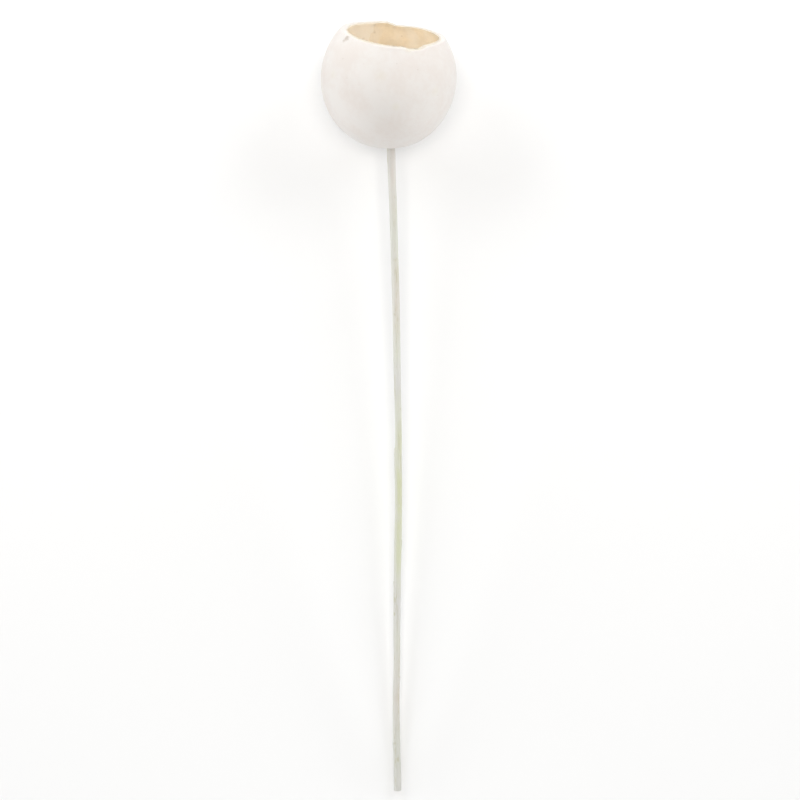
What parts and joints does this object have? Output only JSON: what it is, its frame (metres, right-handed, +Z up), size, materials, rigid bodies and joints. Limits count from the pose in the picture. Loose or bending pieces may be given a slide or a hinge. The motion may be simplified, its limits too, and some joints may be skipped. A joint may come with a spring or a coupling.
{
  "type": "dried bell cup pod",
  "caption": "Hollow, nearly round woody seed pod with a sawn-open mouth, painted white outside and bare tan inside, on a long slim natural stick.",
  "frame": {"origin": "on the surface that the pod lies on, under the middle of its footprint", "axes": "+Z up; +Y along the pod, from the stem's cut end to the cup's mouth; +X across, to the right in the picture"},
  "size_m": [0.08, 0.4828, 0.0788],
  "materials": {
    "painted_shell": "thin matte white paint over a woody shell; the sawn rim is pale wood and the inside is bare tan",
    "painted_stick": "thin matte whitewash over a greenish grey stick, with fine lengthwise grain",
    "set_glue": "cloudy amber glue, set smooth"
  },
  "bodies": {
    "root": {"cup": "painted_shell", "stem": "painted_stick", "glue_bead": "set_glue"}
  },
  "joints": []
}
